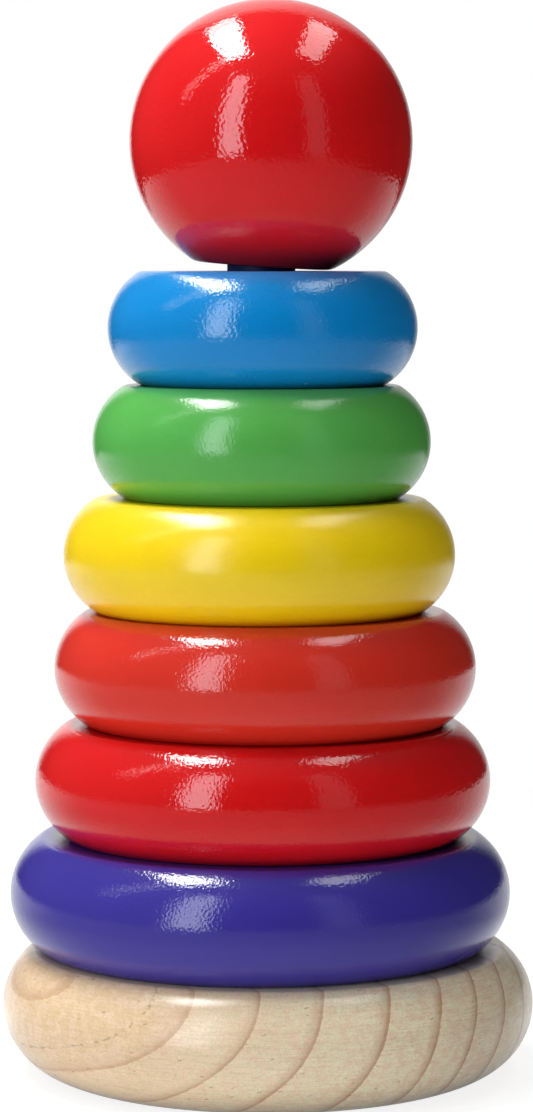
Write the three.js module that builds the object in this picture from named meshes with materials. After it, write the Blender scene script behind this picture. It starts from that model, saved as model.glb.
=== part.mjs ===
// Wooden stacking tower: a turned base disc with a glued-in peg, six crowned rings threaded loosely
// on the peg, and a ball with a flat underside and a blind bore that caps it.
// Millimetres, +Z up, with the origin at the centre of the base's underside.
import * as THREE from "three";

// Base disc: full round below its widest line, a shallower round above it
const baseDiameter = 94.4;
const baseLowerRound = 12.1;
const baseUpperHeight = 9.8;
const baseUpperBulge = 3.5;

// Peg: glued into a blind socket a little off the base's centre, with a rounded tip inside the ball
const pegDiameter = 12;
const pegLie = -1.2;
const pegTipRound = 3;
const pegReach = 20;
const socketFloorThickness = 7;
const socketGlueGap = 0.2;

// Rings: one thickness and one bulge of the side, a loose bore on the peg, eased bore mouths
const ringThickness = 20;
const ringBulge = 5.7;
const ringSidePlay = 3;
const boreEase = 1;
const purpleRingDiameter = 88.9;
const redRingDiameter = 80.8;
const orangeRingDiameter = 74.7;
const yellowRingDiameter = 69.2;
const greenRingDiameter = 59.7;
const blueRingDiameter = 54.6;

// Each ring from the base up, with the share of its side play that it lies off the peg's axis
const rings = [
  { name: "purple_ring", diameter: purpleRingDiameter, lie: -0.06, colour: 0x4b3fa6 },
  { name: "red_ring", diameter: redRingDiameter, lie: 0.09, colour: 0xd21a1c },
  { name: "orange_ring", diameter: orangeRingDiameter, lie: 0.23, colour: 0xdd3d2c },
  { name: "yellow_ring", diameter: yellowRingDiameter, lie: -0.11, colour: 0xf8d51b },
  { name: "green_ring", diameter: greenRingDiameter, lie: 0.02, colour: 0x5bb155 },
  { name: "blue_ring", diameter: blueRingDiameter, lie: 0.08, colour: 0x0f8ccf },
];

// Ball: sits loosely over the peg's tip and leans to the right and front, until the rim of its flat
// underside is down on the top ring
const ballDiameter = 49.7;
const ballFlatDiameter = 24.1;
const ballSidePlay = 2.5;
const ballLieAcross = 0.11;
const ballLieBack = 0.16;
const ballLeanDegrees = 3.95;
const ballLeanTurnDegrees = -17;
const ballRimGap = 0.1;
const ballTipGap = 1;

// Finishes: clear lacquer on the bare wood, gloss paint on the rest
const woodColour = 0xdcc7a8;
const woodRoughness = 0.5;
const pegColour = 0x1b3f8f;
const ballColour = 0xdd1c1f;
const paintRoughness = 0.2;

// Smoothness of the turned surfaces
const baseSides = 48;
const ringSides = 40;
const pegSides = 24;
const crownArcSteps = 5;
const ballArcSteps = 9;
const smallArcSteps = 2;

const quarterTurn = Math.PI / 2;
const pegRadius = pegDiameter / 2;
const baseThickness = baseLowerRound + baseUpperHeight;
const stackTop = baseThickness + rings.length * ringThickness;
const pegTipHeight = stackTop + pegReach;

// Radius of an arc that starts square to its bulge and falls back by the bulge over the rise
function arcRadius(rise, bulge) {
  return (rise * rise + bulge * bulge) / (2 * bulge);
}

// Turns a profile of radius against height about the Z axis
function turned(profile, arcSteps, sides) {
  const geometry = new THREE.LatheGeometry(profile.getPoints(arcSteps), sides);
  return geometry.rotateX(quarterTurn);
}

function piece(name, geometry, colour, roughness) {
  const material = new THREE.MeshStandardMaterial({ color: colour, roughness, metalness: 0 });
  const mesh = new THREE.Mesh(geometry, material);
  mesh.name = name;
  return mesh;
}

// Moves the points round the socket sideways, to where the peg stands
function movedSocket(geometry) {
  const points = geometry.attributes.position;
  for (let index = 0; index < points.count; index += 1) {
    const fromMiddle = Math.hypot(points.getX(index), points.getY(index));
    if (fromMiddle < pegDiameter && points.getZ(index) > 0) {
      points.setX(index, points.getX(index) + pegLie);
    }
  }
  return geometry;
}

// The base disc stands on its flat underside, with the socket for the peg open at the top
function baseDisc() {
  const radius = baseDiameter / 2;
  const socketRadius = pegRadius + socketGlueGap;
  const upperRound = arcRadius(baseUpperHeight, baseUpperBulge);
  const upperEnd = Math.atan2(baseUpperHeight, upperRound - baseUpperBulge);
  const profile = new THREE.Path();
  profile.moveTo(0, 0);
  profile.lineTo(radius - baseLowerRound, 0);
  profile.absarc(radius - baseLowerRound, baseLowerRound, baseLowerRound, -quarterTurn, 0, false);
  profile.absarc(radius - upperRound, baseLowerRound, upperRound, 0, upperEnd, false);
  profile.lineTo(socketRadius, baseThickness);
  profile.lineTo(socketRadius, socketFloorThickness);
  profile.lineTo(0, socketFloorThickness);
  const disc = movedSocket(turned(profile, crownArcSteps, baseSides));
  return piece("base", disc, woodColour, woodRoughness);
}

// The peg stands on the socket's floor and reaches above the top ring
function peg() {
  const length = pegTipHeight - socketFloorThickness;
  const profile = new THREE.Path();
  profile.moveTo(0, 0);
  profile.lineTo(pegRadius, 0);
  profile.absarc(pegRadius - pegTipRound, length - pegTipRound, pegTipRound, 0, quarterTurn, false);
  profile.lineTo(0, length);
  const mesh = piece("peg", turned(profile, smallArcSteps, pegSides), pegColour, paintRoughness);
  mesh.position.set(pegLie, 0, socketFloorThickness);
  return mesh;
}

// A ring has flat faces above and below, a bulging side between them, and a bore with eased mouths
function crownedRing(size) {
  const radius = size.diameter / 2;
  const boreRadius = pegRadius + ringSidePlay;
  const rise = ringThickness / 2;
  const crown = arcRadius(rise, ringBulge);
  const crownEnd = Math.atan2(rise, crown - ringBulge);
  const profile = new THREE.Path();
  profile.moveTo(boreRadius, boreEase);
  profile.lineTo(boreRadius + boreEase, 0);
  profile.lineTo(radius - ringBulge, 0);
  profile.absarc(radius - crown, rise, crown, -crownEnd, crownEnd, false);
  profile.lineTo(boreRadius + boreEase, ringThickness);
  profile.lineTo(boreRadius, ringThickness - boreEase);
  profile.lineTo(boreRadius, boreEase);
  return piece(size.name, turned(profile, crownArcSteps, ringSides), size.colour, paintRoughness);
}

// The ball is turned about its bore, and the floor of the leaning bore stops above the peg's tip
function cappingBall() {
  const radius = ballDiameter / 2;
  const flatRadius = ballFlatDiameter / 2;
  const flatDrop = Math.sqrt(radius * radius - flatRadius * flatRadius);
  const boreRadius = pegRadius + ballSidePlay;
  const lean = THREE.MathUtils.degToRad(ballLeanDegrees);
  const leanTurn = THREE.MathUtils.degToRad(ballLeanTurnDegrees);
  const across = Math.sin(lean);
  const upright = Math.cos(lean);
  const boreAxis = new THREE.Vector3(across * Math.cos(leanTurn), across * Math.sin(leanTurn), upright);
  const flatX = pegLie + ballLieAcross * ballSidePlay;
  const flatY = ballLieBack * ballSidePlay;
  const flatZ = stackTop + ballRimGap + flatRadius * across;
  const centre = new THREE.Vector3(flatX, flatY, flatZ).addScaledVector(boreAxis, flatDrop);
  const tipSide = pegLie * boreAxis.x + (pegRadius - pegTipRound) * across;
  const tipAlongBore = tipSide + (pegTipHeight - pegTipRound) * upright + pegTipRound;
  const boreFloor = tipAlongBore + ballTipGap - centre.dot(boreAxis);
  const rimAngle = Math.atan2(-flatDrop, flatRadius);
  const profile = new THREE.Path();
  profile.moveTo(0, boreFloor);
  profile.lineTo(boreRadius, boreFloor);
  profile.lineTo(boreRadius, boreEase - flatDrop);
  profile.lineTo(boreRadius + boreEase, -flatDrop);
  profile.lineTo(flatRadius, -flatDrop);
  profile.absarc(0, 0, radius, rimAngle, quarterTurn, false);
  const leaning = new THREE.Group();
  leaning.position.copy(centre);
  leaning.quaternion.setFromUnitVectors(new THREE.Vector3(0, 0, 1), boreAxis);
  leaning.add(piece("ball", turned(profile, ballArcSteps, ringSides), ballColour, paintRoughness));
  return leaning;
}

const tower = new THREE.Group();
tower.name = "stacking_tower";
tower.add(baseDisc());
tower.add(peg());
rings.forEach((size, level) => {
  const ring = crownedRing(size);
  ring.position.set(pegLie + size.lie * ringSidePlay, 0, baseThickness + level * ringThickness);
  tower.add(ring);
});
tower.add(cappingBall());

export default tower;
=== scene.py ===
"""Wooden stacking tower, dressed as turned, painted and lacquered wood on a pale table.

The file is laid out as an add-on and run as a script. Lengths are metres in the frame's own axes:
+Z runs up the peg, +X to the right and +Y away from the camera.
"""
import math
from typing import NamedTuple

import bmesh
import bpy
from bpy.props import FloatProperty, FloatVectorProperty, IntProperty, PointerProperty
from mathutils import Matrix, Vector


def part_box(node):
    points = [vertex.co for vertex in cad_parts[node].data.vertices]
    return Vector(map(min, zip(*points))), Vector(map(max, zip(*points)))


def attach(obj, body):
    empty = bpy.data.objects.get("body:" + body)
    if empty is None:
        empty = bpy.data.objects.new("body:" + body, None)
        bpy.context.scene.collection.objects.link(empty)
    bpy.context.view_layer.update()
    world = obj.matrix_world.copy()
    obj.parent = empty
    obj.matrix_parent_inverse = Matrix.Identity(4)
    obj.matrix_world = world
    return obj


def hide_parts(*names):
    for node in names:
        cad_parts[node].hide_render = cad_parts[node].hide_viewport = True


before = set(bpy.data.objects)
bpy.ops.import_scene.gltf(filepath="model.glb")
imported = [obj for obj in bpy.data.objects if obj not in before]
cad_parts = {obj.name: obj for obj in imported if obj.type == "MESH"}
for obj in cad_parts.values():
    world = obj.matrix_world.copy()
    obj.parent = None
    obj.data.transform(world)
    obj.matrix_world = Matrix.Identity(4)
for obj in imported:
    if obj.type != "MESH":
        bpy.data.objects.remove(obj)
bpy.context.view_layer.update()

bl_info = {
    "name": "Stacking Tower",
    "version": (1, 0, 0),
    "blender": (4, 5, 0),
    "location": "View3D > Sidebar > Tower",
    "description": "Turns and paints a wooden stacking tower: base, peg, six rings and a ball",
    "category": "Add Mesh",
}

MM = 0.001
MICRON = 0.000001

# Meshes: points this close are one, edges sharper than this stay crisp
MERGE_DISTANCE = 2 * MICRON
CRISP_EDGE = math.radians(38)

# Width of the strip that a flat face keeps beside its rounded rim, so that it shades as flat
FLAT_STRIP = 2 * MM
BALL_FLAT_STRIP = 0.5 * MM

# Wood: middle and turn of the log that the base was cut from, and the radius where each year's growth ends
LOG_MIDDLE = (-65.1 * MM, 0, 35.9 * MM)
LOG_TURN = (math.radians(-3.8), 0, math.radians(23.7))
FIRST_YEAR_START = 13 * MM
YEAR_ENDS = [end * MM for end in (24.7, 36.5, 45.2, 54.9, 65.9, 76.0, 84.2, 91.5, 98.2, 104.5, 111.0)]
PORE_TURN = (0, math.radians(-12), 0)
WOOD_RELIEF = 40 * MICRON

# Paints: each ring's grain is turned on from the ring below, and its pattern is moved on by a lot
LACQUER_IOR = 1.6
DUST = (0.9, 0.85, 0.8, 1)
FIRST_RING_GRAIN = math.radians(-18)
RING_GRAIN_STEP = math.radians(11)
RING_LOT_STEP = 0.13
PEG_GRAIN, PEG_LOT = math.radians(90), 0.71
BALL_GRAIN, BALL_LOT = math.radians(25), 0.97

# Stage
WHITE = (1, 1, 1, 1)
LAMPLIGHT = (1, 1, 1)
DAYLIGHT = (0.87, 0.92, 1.0)
TABLE_WIDTH, TABLE_DEPTH = 1.16, 1.30
TABLE_MIDDLE = (0, 0.07, 0)
PHOTO_HEIGHT_PX = 1112
SENSOR_WIDTH_MM = 36


class Gloss(NamedTuple):
    """How a paint shines: its roughness, and the fine dimples of its skin."""

    roughness: float
    dimples_per_metre: float
    dimple_depth: float


RING_GLOSS = {
    "purple": Gloss(0.125, 2100, 42 * MICRON),
    "red": Gloss(0.09, 1900, 46 * MICRON),
    "orange": Gloss(0.11, 2100, 40 * MICRON),
    "yellow": Gloss(0.24, 2000, 25 * MICRON),
    "green": Gloss(0.18, 2100, 34 * MICRON),
    "blue": Gloss(0.14, 2000, 56 * MICRON),
}
PEG_GLOSS = Gloss(0.5, 2600, 30 * MICRON)
BALL_GLOSS = Gloss(0.07, 1500, 45 * MICRON)


class Lamp(NamedTuple):
    """A rectangular lamp: where it hangs, which way it faces, its two sides and its colour."""

    place: tuple
    facing: tuple
    size: tuple
    colour: tuple


DOWN = (0, 0, -1)
LAMPS = {
    "left_overhead": Lamp((-0.315, 0.055, 0.90), DOWN, (0.23, 0.55), LAMPLIGHT),
    "left_overhead_end": Lamp((-0.315, 0.44, 0.90), DOWN, (0.23, 0.22), LAMPLIGHT),
    "right_overhead": Lamp((0.34, 0.15, 0.90), DOWN, (0.21, 0.70), LAMPLIGHT),
    "left_window": Lamp((-0.806, -1.265, 0.90), (0.806, 1.265, 0), (0.45, 2.1), DAYLIGHT),
    "right_window": Lamp((0.903, -1.198, 0.90), (-0.903, 1.198, 0), (0.475, 2.1), DAYLIGHT),
    "left_tube": Lamp((-1.0, -0.19, 0.90), DOWN, (1.1, 0.034), LAMPLIGHT),
}


def length(name, description, millimetres):
    """A length of the settings, given in millimetres."""
    return FloatProperty(
        name=name, description=description, default=millimetres * MM, min=0, precision=5, unit="LENGTH"
    )


def colour(name, description, red, green, blue):
    """A colour of the settings, given as scene-linear red, green and blue."""
    return FloatVectorProperty(
        name=name, description=description, default=(red, green, blue), size=3, min=0, max=1, subtype="COLOR"
    )


def angle(name, description, degrees):
    """An angle of the settings, given in degrees."""
    return FloatProperty(name=name, description=description, default=math.radians(degrees), subtype="ANGLE")


def brightness(name, description, level):
    """A lamp's own brightness in the settings, where 1 is the brightness of white paper."""
    return FloatProperty(name=name, description=description, default=level, min=0)


class TowerSizes(bpy.types.PropertyGroup):
    """Sizes of the turned shapes that the frame's boxes don't give"""

    base_lower_round: length("Base lower round", "Radius from the base's underside to its widest line", 12.1)
    base_upper_bulge: length("Base upper bulge", "How far the side leans in above its widest line", 5.4)
    base_rim_round: length("Base rim round", "Radius of the edge round the base's top face", 1.5)
    socket_floor: length("Socket floor", "Thickness of wood left under the peg", 7)
    glue_gap: length("Glue gap", "Gap between the peg and the wall of its socket", 0.2)
    peg_tip_round: length("Peg tip round", "Radius of the peg's rounded tip", 3)
    ring_bulge: length("Ring bulge", "How far a ring's side bulges beyond its flat faces", 5.7)
    ring_rim_round: length("Ring rim round", "Radius of the edges round a ring's flat faces", 2)
    ring_bore: length("Ring bore", "Diameter of the hole through a ring", 18)
    bore_ease: length("Bore ease", "Width of the eased mouth of a bore", 1)
    ball_diameter: length("Ball diameter", "Diameter of the ball", 49.7)
    ball_flat: length("Ball flat", "Diameter of the ball's flat underside", 24.1)
    ball_rim_round: length("Ball rim round", "Radius of the edge round the ball's flat underside", 3)
    ball_bore: length("Ball bore", "Diameter of the blind hole in the ball", 17)
    ball_tip_gap: length("Ball tip gap", "Gap between the peg's tip and the floor of the ball's bore", 1)
    ball_lean: angle("Ball lean", "Angle at which the ball leans on the peg", 3.95)
    ball_lean_turn: angle("Ball lean turn", "Direction of the lean, from the right towards the back", -17)
    sides: IntProperty(name="Sides", description="Steps round a turned piece", default=192, min=12)
    arc_steps: IntProperty(name="Arc steps", description="Steps along a rounded side", default=40, min=4)


class TowerColours(bpy.types.PropertyGroup):
    """Colours of the wood and the paints"""

    wood: colour("Wood", "Pale early wood of the base", 0.92, 0.80, 0.53)
    late_wood: colour("Late wood", "Brown line that closes each year's growth", 0.52, 0.25, 0.13)
    blush_wood: colour("Blush wood", "Pinker clouds in the pale wood", 0.95, 0.72, 0.50)
    heart_wood: colour("Heart wood", "Warmer wood near the middle of the log", 0.86, 0.63, 0.37)
    # Outer wood is paler near the bark, and is raised further to lift the shade on the base's right side:
    # partly painted light
    outer_wood_and_painted_fill: colour("Outer wood", "Paler wood near the bark", 1.0, 0.91, 0.64)
    peg: colour("Peg", "Dark blue paint of the peg", 0.011, 0.05, 0.274)
    purple: colour("Purple", "Paint of the lowest ring", 0.045, 0.033, 0.305)
    red: colour("Red", "Paint of the second ring", 0.70, 0.008, 0.009)
    orange: colour("Orange", "Orange-red paint of the third ring", 0.71, 0.032, 0.017)
    yellow: colour("Yellow", "Paint of the fourth ring", 1.0, 0.685, 0.004)
    green: colour("Green", "Paint of the fifth ring", 0.101, 0.455, 0.080)
    blue: colour("Blue", "Paint of the top ring", 0.003, 0.26, 0.66)
    ball: colour("Ball", "Red paint of the ball", 0.77, 0.008, 0.010)


class StudioSettings(bpy.types.PropertyGroup):
    """Camera and light of the stage"""

    camera_distance: length("Camera distance", "How far the camera stands in front of the peg", 632)
    camera_height: length("Camera height", "Height of the camera above the table", 143.8)
    camera_pitch: angle("Camera pitch", "Angle at which the camera looks down", 4.724)
    camera_yaw: angle("Camera yaw", "Angle at which the camera looks to the left", 0.025)
    camera_focus_px: FloatProperty(
        name="Camera focal length",
        description="Focal length in pixels of a frame 1112 pixels high",
        default=3581.1,
        subtype="PIXEL",
    )
    left_overhead: brightness("Left overhead lamp", "Brightness of the long lamp above left", 20.2)
    left_overhead_end: brightness("Left overhead lamp end", "Brightness of that lamp's far end", 7.3)
    right_overhead: brightness("Right overhead lamp", "Brightness of the long lamp above right", 3.8)
    left_window: brightness("Left window", "Brightness of the tall window in front left", 4.55)
    right_window: brightness("Right window", "Brightness of the tall window in front right", 0.37)
    left_tube: brightness("Left tube", "Brightness of the thin tube at the left", 6.5)
    backdrop: brightness("Backdrop", "Brightness of the pale wall behind the table", 1.0)
    ceiling: brightness("Ceiling", "Brightness of the ceiling", 0.1)
    left_wall: brightness("Left wall", "Brightness of the wall at the left", 0.12)
    room: brightness("Room", "Brightness of the rest of the room", 0.02)


class Level:
    """What a node of a finish gives: arithmetic on it adds Math nodes."""

    def __init__(self, finish, socket):
        self.finish = finish
        self.socket = socket

    def output(self, name):
        """Another output of the same node."""
        return Level(self.finish, self.socket.node.outputs[name])

    def math(self, operation, *terms):
        """A Math node's result from terms that are levels or plain numbers."""
        return self.finish.node("ShaderNodeMath", {"operation": operation}, dict(enumerate(terms)))

    def __add__(self, other):
        return self.math("ADD", self, other)

    def __radd__(self, other):
        return self.math("ADD", other, self)

    def __sub__(self, other):
        return self.math("SUBTRACT", self, other)

    def __rsub__(self, other):
        return self.math("SUBTRACT", other, self)

    def __mul__(self, other):
        return self.math("MULTIPLY", self, other)

    def __rmul__(self, other):
        return self.math("MULTIPLY", other, self)

    def __truediv__(self, other):
        return self.math("DIVIDE", self, other)

    def __rtruediv__(self, other):
        return self.math("DIVIDE", other, self)

    def __pow__(self, other):
        return self.math("POWER", self, other)

    def __rpow__(self, other):
        return self.math("POWER", other, self)

    def __mod__(self, other):
        return self.math("MODULO", self, other)

    def __rmod__(self, other):
        return self.math("MODULO", other, self)

    def __abs__(self):
        return self.math("ABSOLUTE", self)

    def over(self, low, high):
        """0 below low and 1 above high, with a soft step between."""
        return self.finish.node(
            "ShaderNodeMapRange",
            {"interpolation_type": "SMOOTHSTEP"},
            {"Value": self, "From Min": low, "From Max": high},
        )


class Finish:
    """The node tree of one finish, either a material or the world."""

    def __init__(self, owner):
        self.owner = owner
        owner.use_nodes = True
        self.tree = owner.node_tree
        self.tree.nodes.clear()

    def node(self, kind, settings=None, inputs=None, output=0):
        """Adds a node, makes its settings first, then fills its sockets with values or links."""
        made = self.tree.nodes.new(kind)
        for name, setting in (settings or {}).items():
            if name == "stops":
                fill_ramp(made.color_ramp, setting)
            else:
                setattr(made, name, setting)
        for name, value in (inputs or {}).items():
            socket = made.inputs[name]
            if isinstance(value, Level):
                self.tree.links.new(value.socket, socket)
            else:
                socket.default_value = value
        return Level(self, made.outputs[output] if made.outputs else None)

    def mix(self, cover, under, upper):
        """One colour over another, as far as it covers it."""
        sockets = {0: cover, 6: under, 7: upper}
        return self.node("ShaderNodeMix", {"data_type": "RGBA", "blend_type": "MIX"}, sockets, output=2)

    def place(self):
        """Where a point lies on the piece, in metres."""
        return self.node("ShaderNodeTexCoord", output="Object")

    def turned_place(self, middle=(0, 0, 0), turn=(0, 0, 0), stretch=(1, 1, 1)):
        """Where a point lies from another middle and direction, which stretches patterns along its axes."""
        inputs = {"Vector": self.place(), "Location": middle, "Rotation": turn, "Scale": stretch}
        return self.node("ShaderNodeMapping", {"vector_type": "TEXTURE"}, inputs)

    def noise(self, place, per_metre, detail, roughness=0.5):
        """Soft random spots, so many of them to the metre."""
        inputs = {"Vector": place, "Scale": per_metre, "Detail": detail, "Roughness": roughness}
        return self.node("ShaderNodeTexNoise", None, inputs)

    def specks(self, place, per_metre, size, chance):
        """Separate specks in cells, so many cells to the metre.

        A speck fades out over a range of sizes, given as shares of its cell. It is there in the cells
        whose own random number lies above the range of chance.
        """
        inputs = {"Vector": place, "Scale": per_metre}
        cells = self.node("ShaderNodeTexVoronoi", {"feature": "F1"}, inputs, output="Distance")
        number = self.node("ShaderNodeSeparateColor", None, {"Color": cells.output("Color")})
        return (1 - cells.over(*size)) * number.over(*chance)

    def bump(self, height, depth):
        """The surface's tilt where its height changes by up to depth."""
        return self.node("ShaderNodeBump", None, {"Strength": 1.0, "Distance": depth, "Height": height})

    def surface(self, **sockets):
        """Ends the finish with a Principled surface under a clear lacquer."""
        inputs = {name.replace("_", " ").title(): value for name, value in sockets.items()}
        inputs["IOR"] = LACQUER_IOR
        return self.finished(self.node("ShaderNodeBsdfPrincipled", None, inputs))

    def matt(self, grey):
        """A matt surface of one grey."""
        return self.node("ShaderNodeBsdfDiffuse", None, {"Color": (grey, grey, grey, 1)})

    def glow(self, strength):
        """A surface that glows white."""
        return self.node("ShaderNodeEmission", None, {"Color": WHITE, "Strength": strength})

    def blend(self, share, first, second):
        """A surface that is one and, by its share, another."""
        return self.node("ShaderNodeMixShader", None, {0: share, 1: first, 2: second})

    def finished(self, shader):
        """Ends the finish of a material with its surface."""
        self.node("ShaderNodeOutputMaterial", None, {"Surface": shader})
        return self.owner


def fill_ramp(ramp, stops):
    """Sets a ramp's stops from pairs of position and grey level."""
    while len(ramp.elements) > 1:
        ramp.elements.remove(ramp.elements[-1])
    for index, (position, grey) in enumerate(stops):
        stop = ramp.elements[0] if index == 0 else ramp.elements.new(position)
        stop.position = position
        stop.color = (grey, grey, grey, 1)


def opaque(shade, level=1.0):
    """A colour of the settings as a socket takes it, at a share of its level."""
    return (shade[0] * level, shade[1] * level, shade[2] * level, 1)


def gloss_paint(name, shade, gloss, grain_turn, lot):
    """Gloss paint on turned wood: fine dimples, faint grain under the paint, and a few dust nibs."""
    finish = Finish(bpy.data.materials.new(name))
    middle = (lot, lot, lot)
    turn = (0, 0, grain_turn)
    place = finish.turned_place(middle, turn)
    along_grain = finish.turned_place(middle, turn, stretch=(16, 1, 1))
    mottle = finish.noise(place, per_metre=70, detail=3)
    grain = finish.noise(along_grain, per_metre=1100, detail=3, roughness=0.6)
    dimples = finish.noise(place, gloss.dimples_per_metre, detail=1, roughness=0.4)
    nibs = finish.specks(place, per_metre=150, size=(0.02, 0.05), chance=(0.8, 0.81))
    tone = (mottle - 0.5) * 0.25 + (grain - 0.5) * 0.14 + (dimples - 0.5) * 0.05
    paint = finish.mix(tone.over(-0.12, 0.12), opaque(shade, 0.95), opaque(shade, 1.04))
    height = dimples * (mottle * 1.4 + 0.3) + (grain - 0.5) * 0.3 + nibs * 0.5
    return finish.surface(
        base_color=finish.mix(nibs * 0.25, paint, DUST),
        roughness=gloss.roughness + (mottle - 0.5) * 0.05 + (grain - 0.5) * 0.05,
        normal=finish.bump(height, gloss.dimple_depth),
    )


def growth_season(finish, radius):
    """How far a year's growth has come at a radius of the log, from 0 to 1."""
    span = YEAR_ENDS[-1] - FIRST_YEAR_START
    count = len(YEAR_ENDS)
    stops = [(0.0, 0.0)]
    stops += [((end - FIRST_YEAR_START) / span, year / count) for year, end in enumerate(YEAR_ENDS, start=1)]
    grown = finish.node("ShaderNodeValToRGB", {"stops": stops}, {"Fac": (radius - FIRST_YEAR_START) / span})
    return (grown * count) % 1.0


def growth_ringed_wood(name, colours):
    """Bare wood under a satin lacquer, with growth rings about the middle of the log."""
    finish = Finish(bpy.data.materials.new(name))
    log = finish.turned_place(LOG_MIDDLE, LOG_TURN)
    along = finish.turned_place(LOG_MIDDLE, LOG_TURN, stretch=(1, 5, 1))
    lathe = finish.turned_place(stretch=(16, 16, 1))
    dashes = finish.turned_place(turn=PORE_TURN, stretch=(3.5, 3.5, 1))

    # Growth rings
    wander = finish.noise(log, per_metre=28, detail=2)
    ragged = finish.noise(along, per_metre=1500, detail=2)
    side = finish.node("ShaderNodeSeparateXYZ", None, {"Vector": log})
    rise = side.output("Z")
    distance = (side * side + rise * rise) ** 0.5
    radius = distance + (wander - 0.5) * (3.5 * MM) + (ragged - 0.5) * (0.4 * MM)
    season = growth_season(finish, radius)
    late = season.over(0.74, 0.98)
    line = season.over(0.92, 0.97)
    heart = 1 - radius.over(26 * MM, 52 * MM)
    # Near the bark, which is the base's right side: paler wood, and partly a painted lift of that side's
    # shade
    outer_and_painted_fill = radius.over(40 * MM, 75 * MM)

    # Clouds, fibres and pores
    cloud = finish.noise(log, per_metre=40, detail=3)
    blush = finish.noise(log, per_metre=560, detail=3, roughness=0.65)
    dust = finish.noise(log, per_metre=2900, detail=2, roughness=0.65)
    fibre = finish.noise(lathe, per_metre=3600, detail=3, roughness=0.65)
    patch = finish.noise(along, per_metre=260, detail=2)
    speckle = finish.noise(along, per_metre=2200, detail=1)
    pore = finish.specks(dashes, per_metre=900, size=(0.06, 0.15), chance=(0.55, 0.57))
    row = radius.over(31.5 * MM, 31.7 * MM) * (1 - radius.over(31.9 * MM, 32.1 * MM))
    pore_row = row * speckle.over(0.50, 0.58)

    # Each tint covers what lies under it
    late_wood = opaque(colours.late_wood)
    tints = (
        (outer_and_painted_fill, opaque(colours.outer_wood_and_painted_fill)),
        (heart, opaque(colours.heart_wood)),
        ((cloud - 0.40) * 0.7, opaque(colours.heart_wood, 0.86)),
        (blush.over(0.42, 0.62) * 0.75, opaque(colours.blush_wood)),
        ((dust - 0.40) * 0.72, late_wood),
        ((fibre - 0.38) * (0.2 + cloud), late_wood),
        (late * (1 - heart * 0.7) * (0.18 + outer_and_painted_fill * 0.08 + patch * 0.40), late_wood),
        (line * (1 - heart * 0.4) * (0.14 + patch * 0.56), late_wood),
        (speckle.over(0.58, 0.74) * 0.16, opaque(colours.late_wood, 0.8)),
        (pore * 0.50 + pore_row * 0.38, opaque(colours.late_wood, 0.6)),
    )
    wood = opaque(colours.wood)
    for cover, tint in tints:
        wood = finish.mix(cover, wood, tint)
    height = fibre * 0.3 + dust * 0.5 + speckle * 0.4 - pore * 0.2 - line * 0.1
    return finish.surface(
        base_color=wood,
        roughness=0.14 + dust * 0.12,
        normal=finish.bump(height, WOOD_RELIEF),
        sheen_weight=0.45,
        sheen_roughness=0.3,
    )


def pale_table_top(name):
    """A pale matt table that keeps the tower's shadow, and is white to the camera further off.

    In the paint's gloss it glows white behind and beside the tower and close round its foot, a painted
    reflection, and is grey in front of it.
    """
    finish = Finish(bpy.data.materials.new(name))
    seen = finish.node("ShaderNodeLightPath", output="Is Camera Ray")
    mirrored = seen.output("Is Glossy Ray")
    side = finish.node("ShaderNodeSeparateXYZ", None, {"Vector": finish.place()})
    depth = side.output("Y")
    radius = (side * side + depth * depth) ** 0.5
    backward = depth / radius
    # Where the table glows in the gloss: a painted reflection beside, behind and close round the tower
    near = 1 - radius.over(0.06, 0.14)
    beside = backward.over(0.0, 0.85) * (1 - side.over(-0.05, 0.05) * 0.22)
    painted_reflection_glow = beside + near * (0.3 + backward.over(-0.6, 0.2) * 0.5)
    shadowed = finish.node("ShaderNodeAddShader", None, {0: finish.glow(0.85), 1: finish.matt(0.25)})
    to_camera = finish.blend(radius.over(0.15, 0.35), shadowed, finish.glow(1.0))
    in_gloss = finish.blend(painted_reflection_glow, finish.matt(0.26), finish.glow(1.0))
    lit = finish.blend(mirrored, finish.matt(0.85), in_gloss)
    return finish.finished(finish.blend(seen, lit, to_camera))


class Outline:
    """The outline of a turned piece in the XZ plane, drawn from point to point with radius along X."""

    def __init__(self, radius, height):
        self.bm = bmesh.new()
        self.tip = self.first = self.bm.verts.new((radius, 0, height))

    def line(self, radius, height):
        self.tip = bmesh.ops.extrude_vert_indiv(self.bm, verts=[self.tip])["verts"][0]
        self.tip.co = (radius, 0, height)

    def arc(self, radius, height, angle, steps):
        """Swings the last point about a centre, from X towards Z."""
        swung = bmesh.ops.spin(
            self.bm,
            geom=[self.tip],
            cent=(radius, 0, height),
            axis=(0, -1, 0),
            angle=angle,
            steps=steps,
            use_duplicate=False,
        )
        self.tip = next(part for part in swung["geom_last"] if isinstance(part, bmesh.types.BMVert))

    def close(self):
        self.bm.edges.new((self.tip, self.first))

    def turned(self, sides):
        """Turns the outline about Z into a closed shape."""
        bmesh.ops.spin(
            self.bm,
            geom=self.bm.verts[:] + self.bm.edges[:],
            cent=(0, 0, 0),
            axis=(0, 0, 1),
            angle=math.tau,
            steps=sides,
            use_merge=True,
            use_duplicate=False,
        )
        bmesh.ops.remove_doubles(self.bm, verts=self.bm.verts[:], dist=MERGE_DISTANCE)
        bmesh.ops.recalc_face_normals(self.bm, faces=self.bm.faces[:])
        return self.bm


def arc_radius(rise, bulge):
    """Radius of an arc that starts upright and falls back by the bulge over the rise."""
    return (rise * rise + bulge * bulge) / (2 * bulge)


def rounded_corner(rise, arc, corner_round):
    """How far out the round between an arc and a flat face has its centre, and the angle of its start.

    Both are measured from the arc's centre, which lies below the face by the rise.
    """
    height = rise - corner_round
    reach = math.sqrt((arc - corner_round) ** 2 - height * height)
    return reach, math.atan2(height, reach)


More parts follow.
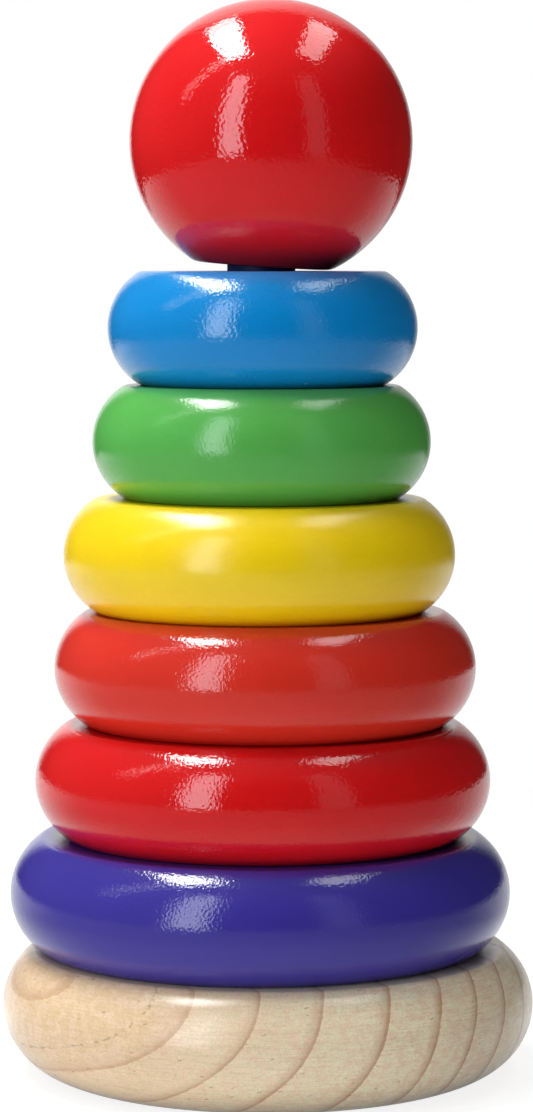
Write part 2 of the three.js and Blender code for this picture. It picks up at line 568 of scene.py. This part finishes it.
def finished_piece(name, bm, material, node, body):
    """Makes the piece's object, hides the solid that it stands for and lets it ride on its body."""
    mesh = bpy.data.meshes.new(name)
    for face in bm.faces:
        face.smooth = True
    bm.to_mesh(mesh)
    bm.free()
    mesh.set_sharp_from_angle(angle=CRISP_EDGE)
    mesh.materials.append(material)
    piece = bpy.data.objects.new(name, mesh)
    bpy.context.scene.collection.objects.link(piece)
    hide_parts(node)
    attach(piece, body)


class TOWER_OT_base(bpy.types.Operator):
    """Turn the base disc with its socket, in bare lacquered wood"""

    bl_idname = "tower.turn_base"
    bl_label = "Base"

    def execute(self, context):
        sizes = context.scene.tower_sizes
        low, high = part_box("base")
        radius = (high.x - low.x) / 2
        thickness = high.z
        lower = sizes.base_lower_round
        rise = thickness - lower
        upper = arc_radius(rise, sizes.base_upper_bulge)
        rim_round = sizes.base_rim_round
        reach, swing = rounded_corner(rise, upper, rim_round)
        rim = radius - upper + reach
        peg_low, peg_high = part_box("peg")
        socket = (peg_high.x - peg_low.x) / 2 + sizes.glue_gap
        outline = Outline(0, 0)
        outline.line(radius - lower - FLAT_STRIP, 0)
        outline.line(radius - lower, 0)
        outline.arc(radius - lower, lower, math.pi / 2, sizes.arc_steps)
        outline.arc(radius - upper, lower, swing, sizes.arc_steps)
        outline.arc(rim, thickness - rim_round, math.pi / 2 - swing, sizes.arc_steps // 2)
        outline.line(rim - FLAT_STRIP, thickness)
        outline.line(socket, thickness)
        outline.line(socket, sizes.socket_floor)
        outline.line(0, sizes.socket_floor)
        bm = outline.turned(sizes.sides)
        socket_points = [point for point in bm.verts if point.co.xy.length < 2 * socket and point.co.z > 0]
        bmesh.ops.translate(bm, verts=socket_points, vec=((peg_high.x + peg_low.x) / 2, 0, 0))
        wood = growth_ringed_wood("growth_ringed_wood", context.scene.tower_colours)
        finished_piece("turned_base", bm, wood, "base", "stand")
        return {"FINISHED"}


class TOWER_OT_peg(bpy.types.Operator):
    """Turn the peg with its rounded tip, in dark blue paint"""

    bl_idname = "tower.turn_peg"
    bl_label = "Peg"

    def execute(self, context):
        sizes = context.scene.tower_sizes
        low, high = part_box("peg")
        radius = (high.x - low.x) / 2
        tip = sizes.peg_tip_round
        outline = Outline(0, low.z)
        outline.line(radius, low.z)
        outline.line(radius, high.z - tip)
        outline.arc(radius - tip, high.z - tip, math.pi / 2, sizes.arc_steps // 4)
        outline.line(0, high.z)
        bm = outline.turned(sizes.sides)
        bmesh.ops.translate(bm, verts=bm.verts[:], vec=((high.x + low.x) / 2, 0, 0))
        shade = context.scene.tower_colours.peg
        paint = gloss_paint("dark_blue_paint", shade, PEG_GLOSS, PEG_GRAIN, PEG_LOT)
        finished_piece("painted_peg", bm, paint, "peg", "stand")
        return {"FINISHED"}


class TOWER_OT_rings(bpy.types.Operator):
    """Turn the six crowned rings, each in its own gloss paint"""

    bl_idname = "tower.turn_rings"
    bl_label = "Rings"

    def execute(self, context):
        colours = context.scene.tower_colours
        for level, (shade, gloss) in enumerate(RING_GLOSS.items()):
            ring, paint_name = f"{shade}_ring", f"{shade}_paint"
            bm = self.turned_ring(context.scene.tower_sizes, *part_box(ring))
            grain_turn = FIRST_RING_GRAIN + RING_GRAIN_STEP * level
            lot = RING_LOT_STEP * (level + 1)
            paint = gloss_paint(paint_name, getattr(colours, shade), gloss, grain_turn, lot)
            finished_piece(f"painted_{ring}", bm, paint, ring, f"{shade}_lifted")
        return {"FINISHED"}

    def turned_ring(self, sizes, low, high):
        """The shape of a ring that fills its box, given by two corners."""
        radius = (high.x - low.x) / 2
        rise = (high.z - low.z) / 2
        middle = (high.z + low.z) / 2
        crown = arc_radius(rise, sizes.ring_bulge)
        rim_round = sizes.ring_rim_round
        reach, swing = rounded_corner(rise, crown, rim_round)
        rim = radius - crown + reach
        bore = sizes.ring_bore / 2
        ease = sizes.bore_ease
        outline = Outline(bore, low.z + ease)
        outline.line(bore + ease, low.z)
        outline.line(rim - FLAT_STRIP, low.z)
        outline.line(rim, low.z)
        outline.arc(rim, low.z + rim_round, math.pi / 2 - swing, sizes.arc_steps // 4)
        outline.arc(radius - crown, middle, 2 * swing, sizes.arc_steps)
        outline.arc(rim, high.z - rim_round, math.pi / 2 - swing, sizes.arc_steps // 4)
        outline.line(rim - FLAT_STRIP, high.z)
        outline.line(bore + ease, high.z)
        outline.line(bore, high.z - ease)
        outline.close()
        bm = outline.turned(sizes.sides)
        bmesh.ops.translate(bm, verts=bm.verts[:], vec=((high.x + low.x) / 2, 0, 0))
        return bm


class TOWER_OT_ball(bpy.types.Operator):
    """Turn the ball with its flat underside and blind bore, in red gloss paint"""

    bl_idname = "tower.turn_ball"
    bl_label = "Ball"

    def execute(self, context):
        sizes = context.scene.tower_sizes
        low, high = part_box("ball")
        radius = sizes.ball_diameter / 2
        flat = sizes.ball_flat / 2
        drop = math.sqrt(radius * radius - flat * flat)
        rim_round = sizes.ball_rim_round
        rim, swing = rounded_corner(drop, radius, rim_round)
        bore = sizes.ball_bore / 2
        ease = sizes.bore_ease
        lean, turn = sizes.ball_lean, sizes.ball_lean_turn
        across = math.sin(lean)
        bore_axis = Vector((across * math.cos(turn), across * math.sin(turn), math.cos(lean)))
        centre = (low + high) / 2
        centre.z = high.z - radius * math.cos(lean)
        floor = self.bore_floor(sizes, centre, bore_axis)
        outline = Outline(0, floor)
        outline.line(bore, floor)
        outline.line(bore, ease - drop)
        outline.line(bore + ease, -drop)
        outline.line(rim - BALL_FLAT_STRIP, -drop)
        outline.line(rim, -drop)
        outline.arc(rim, rim_round - drop, math.pi / 2 - swing, sizes.arc_steps // 4)
        outline.arc(0, 0, math.pi / 2 + swing, 2 * sizes.arc_steps)
        bm = outline.turned(sizes.sides)
        leaning = Vector((0, 0, 1)).rotation_difference(bore_axis).to_matrix()
        bmesh.ops.rotate(bm, verts=bm.verts[:], cent=(0, 0, 0), matrix=leaning)
        bmesh.ops.translate(bm, verts=bm.verts[:], vec=centre)
        shade = context.scene.tower_colours.ball
        paint = gloss_paint("ball_red_paint", shade, BALL_GLOSS, BALL_GRAIN, BALL_LOT)
        finished_piece("painted_ball", bm, paint, "ball", "ball_lifted")
        return {"FINISHED"}

    def bore_floor(self, sizes, centre, bore_axis):
        """How far along the leaning bore its floor lies from the ball's centre, clear of the peg's tip."""
        peg_low, peg_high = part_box("peg")
        tip = sizes.peg_tip_round
        tip_middle = Vector(((peg_high.x + peg_low.x) / 2, 0, peg_high.z - tip))
        tip_reach = ((peg_high.x - peg_low.x) / 2 - tip) * math.sin(sizes.ball_lean) + tip
        return (tip_middle - centre).dot(bore_axis) + tip_reach + sizes.ball_tip_gap


class TOWER_OT_stage(bpy.types.Operator):
    """Set the table, the lamps, the room and the camera"""

    bl_idname = "tower.set_stage"
    bl_label = "Stage"

    def execute(self, context):
        studio = context.scene.tower_studio
        context.scene.view_settings.view_transform = "Standard"
        self.set_camera(context, studio)
        self.set_table(context)
        self.set_room(context, studio)
        for name, lamp in LAMPS.items():
            self.hang_lamp(context, name, lamp, getattr(studio, name))
        return {"FINISHED"}

    def set_camera(self, context, studio):
        """Stands the camera in front of the tower, where it was fitted to the photo."""
        data = bpy.data.cameras.new("camera")
        data.sensor_width = SENSOR_WIDTH_MM
        data.lens = SENSOR_WIDTH_MM * studio.camera_focus_px / PHOTO_HEIGHT_PX
        camera = bpy.data.objects.new("camera", data)
        camera.location = (0, -studio.camera_distance, studio.camera_height)
        camera.rotation_euler = (math.pi / 2 - studio.camera_pitch, 0, studio.camera_yaw)
        context.scene.collection.objects.link(camera)
        context.scene.camera = camera

    def set_table(self, context):
        """Lays the table top under the tower, as a part of the stage."""
        bm = bmesh.new()
        bmesh.ops.create_grid(bm, x_segments=1, y_segments=1, size=0.5)
        bmesh.ops.scale(bm, verts=bm.verts[:], vec=(TABLE_WIDTH, TABLE_DEPTH, 1))
        bmesh.ops.translate(bm, verts=bm.verts[:], vec=TABLE_MIDDLE)
        mesh = bpy.data.meshes.new("table")
        bm.to_mesh(mesh)
        bm.free()
        mesh.materials.append(pale_table_top("pale_table"))
        table = bpy.data.objects.new("table", mesh)
        context.scene.collection.objects.link(table)

    def set_room(self, context, studio):
        """Lights the room from its walls: white to the camera, with a pale wall behind for the gloss."""
        world = bpy.data.worlds.new("studio")
        context.scene.world = world
        finish = Finish(world)
        way = finish.node("ShaderNodeTexCoord", output="Generated")
        across = finish.node("ShaderNodeSeparateXYZ", None, {"Vector": way})
        depth = across.output("Y")
        up = across.output("Z")
        off_middle = abs(across)
        behind = depth.over(0.55, 0.72) * (1 - off_middle.over(0.26, 0.42))
        behind *= 1 - across.over(-0.15, 0.25) * 0.5
        overhead = up.over(0.5, 0.95)
        left = (across * -0.8 + up * 0.6).over(0.3, 0.95)
        seen = finish.node("ShaderNodeLightPath", output="Is Camera Ray")
        mirrored = seen.output("Is Glossy Ray")
        glow = studio.room + overhead * studio.ceiling + left * studio.left_wall
        glow += behind * mirrored * studio.backdrop
        strength = seen + (1 - seen) * glow
        sky = finish.node("ShaderNodeBackground", None, {"Color": WHITE, "Strength": strength})
        finish.node("ShaderNodeOutputWorld", None, {"Surface": sky})

    def hang_lamp(self, context, name, lamp, level):
        """Hangs a lamp with its second side upright, or along Y where it faces down."""
        data = bpy.data.lights.new(name, "AREA")
        data.shape = "RECTANGLE"
        data.size, data.size_y = lamp.size
        data.energy = level * math.pi * data.size * data.size_y
        data.color = lamp.colour
        hung = bpy.data.objects.new(name, data)
        hung.location = lamp.place
        hung.rotation_euler = Vector(lamp.facing).to_track_quat("-Z", "Y").to_euler()
        context.scene.collection.objects.link(hung)


class VIEW3D_PT_tower(bpy.types.Panel):
    """Lists the tower's settings and the steps that make it"""

    bl_label = "Stacking Tower"
    bl_space_type = "VIEW_3D"
    bl_region_type = "UI"
    bl_category = "Tower"

    def draw(self, context):
        column = self.layout.column()
        for step in MAKING_STEPS:
            column.operator(step.bl_idname)
        for group in SETTINGS:
            settings = getattr(context.scene, group)
            box = self.layout.box()
            for name in settings.__annotations__:
                box.prop(settings, name)


MAKING_STEPS = (TOWER_OT_base, TOWER_OT_peg, TOWER_OT_rings, TOWER_OT_ball, TOWER_OT_stage)
SETTINGS = {"tower_sizes": TowerSizes, "tower_colours": TowerColours, "tower_studio": StudioSettings}
CLASSES = (*SETTINGS.values(), *MAKING_STEPS, VIEW3D_PT_tower)


def register():
    for part in CLASSES:
        bpy.utils.register_class(part)
    for name, group in SETTINGS.items():
        setattr(bpy.types.Scene, name, PointerProperty(type=group))


def unregister():
    for name in SETTINGS:
        delattr(bpy.types.Scene, name)
    for part in reversed(CLASSES):
        bpy.utils.unregister_class(part)


def main():
    register()
    bpy.ops.tower.turn_base()
    bpy.ops.tower.turn_peg()
    bpy.ops.tower.turn_rings()
    bpy.ops.tower.turn_ball()
    bpy.ops.tower.set_stage()


if __name__ == "__main__":
    main()
